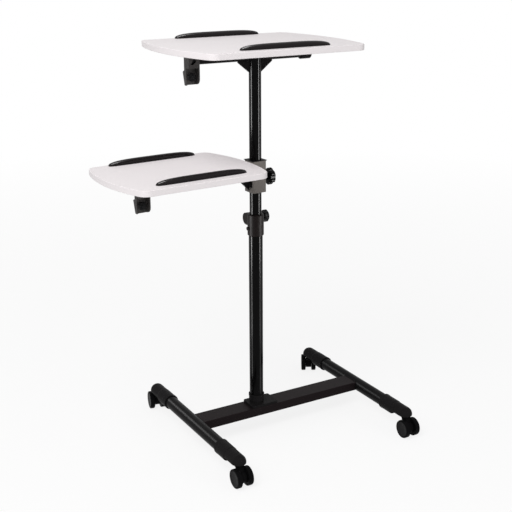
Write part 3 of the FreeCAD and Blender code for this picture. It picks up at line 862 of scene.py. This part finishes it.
@dataclass
class SideClamp:
    """Dress of the sliding clamp that carries the side shelf."""

    turn_degrees: float
    face_offset: float = 53.0 * MM
    cap_share: float = 0.36
    cap: KnobCap = KnobCap(rise=0.4 * MM, crest=1.0 * MM, crest_in=0.7 * MM, dish=0.6 * MM, sides=48)
    # Size of the dark sheet of painted shade on the block's top.
    sheet_sides: int = 32
    sheet_bore: float = 18.6 * MM
    sheet_corner: float = 31.0 * MM
    sheet_thickness: float = 1.6 * MM

    def dress(self) -> None:
        """Give the clamp's CAD nodes their finishes."""
        CLAMP_PAINT.dress("side_clamp_block")
        CAP_PLASTIC.dress("side_bush")
        RAIL_COAT.dress("side_rail", "side_gusset")
        STAR_PLASTIC.dress("side_clamp_knob")

    def knob_cap(self) -> None:
        """Build the round insert in the star knob's face."""
        low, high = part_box("side_clamp_knob")
        axis = turned_about_z(self.turn_degrees) @ AXIS_X
        radius = (high.z - low.z) / 2 * self.cap_share
        face = column_axis() + axis * self.face_offset + AXIS_Z * (low.z + high.z) / 2
        piece = Workpiece("side_clamp_knob_cap", STAR_PLASTIC, "side_clamp_knob")
        self.cap.add(piece, face, axis, radius)
        piece.done()

    def painted_shade_sheet(self) -> None:
        """Build the thin dark sheet on the block's top round the bush: painted shade that stands in
        for the shadow on the block's top face.
        """
        seat = column_axis() + AXIS_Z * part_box("side_clamp_block")[1].z
        top = seat + AXIS_Z * self.sheet_thickness
        # Painted shade: a dark square sheet over the block's top, in black moulding, stands where the
        # top face is only in shadow.
        piece = Workpiece("side_clamp_top_shade", CAP_PLASTIC, "side_arm")
        inner = piece.first_ring(seat, AXIS_Z, self.sheet_bore, self.sheet_sides, capped=False)
        upper = piece.next_ring(inner, seat, AXIS_Z, 1.0, self.sheet_thickness)
        edge = piece.next_ring(upper, top, AXIS_Z, self.sheet_corner / self.sheet_bore, 0.0)
        piece.square_off(edge, top, AXIS_Z, Polygon.SQUARE)
        lower = piece.next_ring(edge, top, AXIS_Z, 1.0, -self.sheet_thickness)
        spare = piece.next_ring(lower, seat, AXIS_Z, self.sheet_bore / self.sheet_corner, 0.0)
        piece.round_off(spare, seat, self.sheet_bore)
        bmesh.ops.rotate(piece.mesh, cent=seat, matrix=turned_about_z(self.turn_degrees),
                         verts=piece.mesh.verts[:])
        piece.done()

    def build(self) -> None:
        """Build and dress the side clamp."""
        self.dress()
        self.knob_cap()
        self.painted_shade_sheet()


@dataclass(frozen=True)
class PhotoCamera:
    """Camera at the photograph's place, found by a fit to the object's known edges."""

    place: Triple = (-1.25401, -2.23281, 1.33047)
    yaw_degrees: float = 29.93
    pitch_degrees: float = 17.64
    roll_degrees: float = -0.27
    lens_mm: float = 70.14
    sensor_mm: float = 36.0

    def build(self) -> bpy.types.Object:
        """Create the camera and make it the scene's own.

        Returns:
            The camera object.
        """
        yaw, pitch = math.radians(self.yaw_degrees), math.radians(self.pitch_degrees)
        look = Vector((math.sin(yaw) * math.cos(pitch), math.cos(yaw) * math.cos(pitch),
                       -math.sin(pitch)))
        level = Vector((math.cos(yaw), -math.sin(yaw), 0.0))
        roll = Matrix.Rotation(-math.radians(self.roll_degrees), 3, look)
        right = roll @ level
        up = right.cross(look)
        data = bpy.data.cameras.new("photo_camera")
        data.sensor_width = self.sensor_mm
        data.lens = self.lens_mm
        camera = bpy.data.objects.new("photo_camera", data)
        turn = Matrix((right, up, -look)).transposed().to_4x4()
        camera.matrix_world = Matrix.Translation(Vector(self.place)) @ turn
        bpy.context.scene.collection.objects.link(camera)
        bpy.context.scene.camera = camera
        return camera


@dataclass(frozen=True)
class Softbox:
    """One rectangular studio light that faces a point of the object."""

    name: str
    place: Triple
    target: Triple
    width: float
    height: float
    radiance: float
    shows_on: tuple[str, ...] = ()

    def build(self) -> None:
        """Create the light; one with nodes to show on is seen in their gloss and lights nothing."""
        data = bpy.data.lights.new(self.name, "AREA")
        data.shape = "RECTANGLE"
        data.size = self.width
        data.size_y = self.height
        data.energy = self.radiance * math.pi * self.width * self.height
        light = bpy.data.objects.new(self.name, data)
        aim = Vector(self.target) - Vector(self.place)
        turn = aim.to_track_quat("-Z", "Y").to_matrix().to_4x4()
        light.matrix_world = Matrix.Translation(Vector(self.place)) @ turn
        light.visible_camera = False
        light.visible_diffuse = not self.shows_on
        light.visible_glossy = bool(self.shows_on)
        if self.shows_on:
            receivers = bpy.data.collections.new(self.name)
            for name in self.shows_on:
                receivers.objects.link(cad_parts[name])
            light.light_linking.receiver_collection = receivers
        bpy.context.scene.collection.objects.link(light)


@dataclass(frozen=True)
class Studio:
    """White floor, surrounding light and softboxes."""

    floor_size: float = 60.0
    floor_color: Triple = (0.92, 0.92, 0.92)
    near_glow: float = 0.82
    glow_reach: float = 4.0
    fill: float = 0.42
    boxes: tuple[Softbox, ...] = (
        Softbox("left_strip", place=(-1.44, 0.31, 0.46), target=(0.03, 0.0, 0.60),
                width=0.36, height=0.88, radiance=70.0, shows_on=COLUMN),
        Softbox("left_floor_far", place=(-1.01, 0.22, 0.03), target=(-0.99, 0.216, 0.43),
                width=0.22, height=0.74, radiance=26.0, shows_on=COLUMN),
        Softbox("left_floor_near", place=(-0.43, 0.10, 0.02), target=(-0.41, 0.096, 0.42),
                width=0.10, height=0.42, radiance=12.0, shows_on=COLUMN),
        Softbox("right_strip", place=(1.04, -1.11, 0.46), target=(0.03, 0.0, 0.60),
                width=0.26, height=0.88, radiance=76.0, shows_on=COLUMN),
        Softbox("right_floor_far", place=(0.74, -0.78, 0.03), target=(0.725, -0.765, 0.43),
                width=0.18, height=0.74, radiance=14.0, shows_on=COLUMN),
        Softbox("right_floor_near", place=(0.34, -0.34, 0.02), target=(0.325, -0.325, 0.42),
                width=0.09, height=0.42, radiance=6.0, shows_on=COLUMN),
        Softbox("overhead", place=(-0.10, 0.10, 2.70), target=(-0.10, 0.0, 0.9),
                width=1.2, height=0.5, radiance=36.0, shows_on=STOPS),
        Softbox("back_strip", place=(-1.04, 1.76, 1.05), target=(0.0, 0.0, 0.06),
                width=0.60, height=0.60, radiance=17.0, shows_on=LEGS),
        Softbox("key_softbox", place=(-1.82, -1.24, 2.97), target=(-0.10, 0.0, 0.9),
                width=2.0, height=2.0, radiance=5.9),
        Softbox("front_softbox", place=(1.30, -2.60, 0.80), target=(0.0, 0.0, 0.7),
                width=1.2, height=1.2, radiance=2.5),
    )

    def seen_mask(self, nodes: bpy.types.Nodes, links: bpy.types.NodeLinks) -> bpy.types.NodeSocket:
        """Add nodes that are one for camera, glossy and transmission rays.

        Args:
            nodes: The tree's nodes.
            links: The tree's links.

        Returns:
            The socket that carries the mask.
        """
        path = nodes.new("ShaderNodeLightPath")
        first = nodes.new("ShaderNodeMath")
        first.operation = "MAXIMUM"
        second = nodes.new("ShaderNodeMath")
        second.operation = "MAXIMUM"
        links.new(path.outputs["Is Camera Ray"], first.inputs[0])
        links.new(path.outputs["Is Glossy Ray"], first.inputs[1])
        links.new(first.outputs["Value"], second.inputs[0])
        links.new(path.outputs["Is Transmission Ray"], second.inputs[1])
        return second.outputs["Value"]

    def floor(self) -> None:
        """Build the pale floor, which shows near white and keeps a soft shadow."""
        mesh = bmesh.new()
        bmesh.ops.create_grid(mesh, x_segments=1, y_segments=1, size=self.floor_size / 2)
        data = bpy.data.meshes.new("floor")
        mesh.to_mesh(data)
        mesh.free()
        material = bpy.data.materials.new("white_floor")
        material.use_nodes = True
        nodes, links = material.node_tree.nodes, material.node_tree.links
        nodes.remove(nodes["Principled BSDF"])
        paint = nodes.new("ShaderNodeBsdfDiffuse")
        paint.inputs["Color"].default_value = opaque(self.floor_color)
        glow = nodes.new("ShaderNodeEmission")
        place = nodes.new("ShaderNodeTexCoord")
        shrink = nodes.new("ShaderNodeMapping")
        shrink.inputs["Scale"].default_value = (1.0 / self.glow_reach,) * 3
        fade = nodes.new("ShaderNodeTexGradient")
        fade.gradient_type = "SPHERICAL"
        level = nodes.new("ShaderNodeMapRange")
        level.inputs["To Min"].default_value = 1.0
        level.inputs["To Max"].default_value = self.near_glow
        share = nodes.new("ShaderNodeMath")
        share.operation = "MULTIPLY"
        blend = nodes.new("ShaderNodeMixShader")
        links.new(place.outputs["Object"], shrink.inputs["Vector"])
        links.new(shrink.outputs["Vector"], fade.inputs["Vector"])
        links.new(fade.outputs["Fac"], level.inputs["Value"])
        links.new(level.outputs["Result"], share.inputs[1])
        links.new(self.seen_mask(nodes, links), share.inputs[0])
        links.new(share.outputs["Value"], blend.inputs["Fac"])
        links.new(paint.outputs["BSDF"], blend.inputs[1])
        links.new(glow.outputs["Emission"], blend.inputs[2])
        links.new(blend.outputs["Shader"], nodes["Material Output"].inputs["Surface"])
        data.materials.append(material)
        floor = bpy.data.objects.new("floor", data)
        bpy.context.scene.collection.objects.link(floor)

    def surround(self) -> None:
        """Set the even light from all round, seen as white."""
        world = bpy.data.worlds.new("studio")
        world.use_nodes = True
        nodes, links = world.node_tree.nodes, world.node_tree.links
        ground = nodes["Background"]
        ground.inputs["Color"].default_value = opaque(WHITE)
        level = nodes.new("ShaderNodeMapRange")
        level.inputs["To Min"].default_value = self.fill
        level.inputs["To Max"].default_value = 1.0
        links.new(self.seen_mask(nodes, links), level.inputs["Value"])
        links.new(level.outputs["Result"], ground.inputs["Strength"])
        bpy.context.scene.world = world

    def build(self) -> None:
        """Build the whole studio."""
        self.floor()
        self.surround()
        for box in self.boxes:
            box.build()


def main() -> None:
    """Build the table's dress, the studio and the camera in order."""
    logging.basicConfig(level=logging.INFO, format="%(message)s")
    bpy.context.scene.view_settings.view_transform = "Standard"
    parts: list[SubAssembly] = [
        Base(), HeightClamp(), Mast(),
        Shelf(ShelfPlace.UPPER, 0.0, UPPER_TILT_KNOB_X),
        Shelf(ShelfPlace.SIDE, SIDE_TURN_DEGREES, SIDE_TILT_KNOB_X),
        SideClamp(SIDE_TURN_DEGREES),
    ]
    parts += [Caster(corner, CASTER_TURNS.get(corner, 0.0)) for corner in Corner]
    for part in parts:
        LOG.info("building %s", type(part).__name__)
        part.build()
    Studio().build()
    PhotoCamera().build()


if __name__ == "__main__":
    main()
